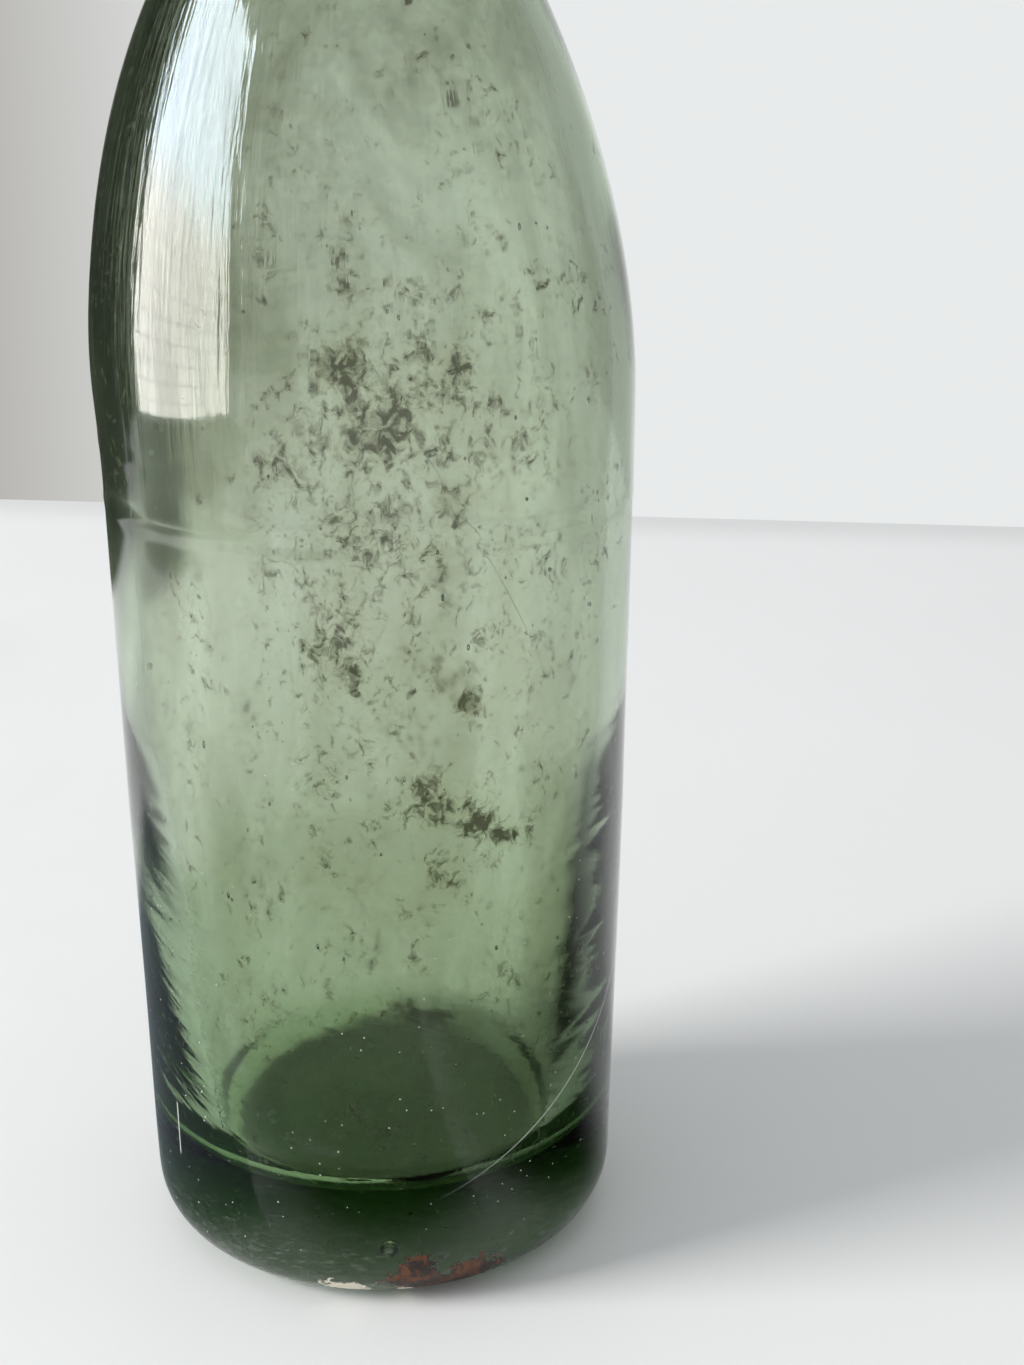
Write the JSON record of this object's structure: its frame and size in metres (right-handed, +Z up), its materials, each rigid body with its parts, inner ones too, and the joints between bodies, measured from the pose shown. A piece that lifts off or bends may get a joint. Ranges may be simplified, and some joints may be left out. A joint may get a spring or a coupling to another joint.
{
  "type": "swing-top glass bottle",
  "caption": "Old hand-made green glass soda bottle with a thick base, sloping shoulder and a wire swing-top closure with porcelain stopper and rubber ring.",
  "frame": {"origin": "centre of the standing ring, on the surface that the bottle stands on", "axes": "+Z up the bottle's axis; the closure's hinges run along X and its thumb lever is at the front, on -Y"},
  "size_m": [0.072, 0.072, 0.2661],
  "materials": {
    "green_glass": "glossy, bubbled, lightly scratched and stained inside",
    "closure_wire": "dull galvanised wire with rust spots",
    "porcelain": "glazed white porcelain with fine crazing",
    "red_rubber": "matte, slightly perished"
  },
  "bodies": {
    "bottle": {"glass_bottle": "green_glass", "neck_wire": "closure_wire"},
    "lever": {"lever_wire": "closure_wire"},
    "bail": {"bail_wire": "closure_wire"},
    "cap": {"stopper": "porcelain", "gasket": "red_rubber"}
  },
  "joints": [
    {"name": "lever_hinge", "type": "hinge", "parent": "bottle", "child": "lever", "pos_m": [0, 0, 0.2311], "axis": [-1, 0, 0], "range_deg": [0, 150]},
    {"name": "bail_hinge", "type": "hinge", "parent": "lever", "child": "bail", "pos_m": [0, 0.00084, 0.21913], "axis": [-1, 0, 0], "range_deg": [-103.5, 0]},
    {"name": "stopper_hinge", "type": "hinge", "parent": "bail", "child": "cap", "pos_m": [0, 0, 0.2576], "axis": [-1, 0, 0], "range_deg": [-47, 0]}
  ],
  "couplings": [
    {"joint": "bail_hinge", "follows": "lever_hinge", "ratio": -0.688},
    {"joint": "stopper_hinge", "follows": "lever_hinge", "ratio": -0.312}
  ]
}
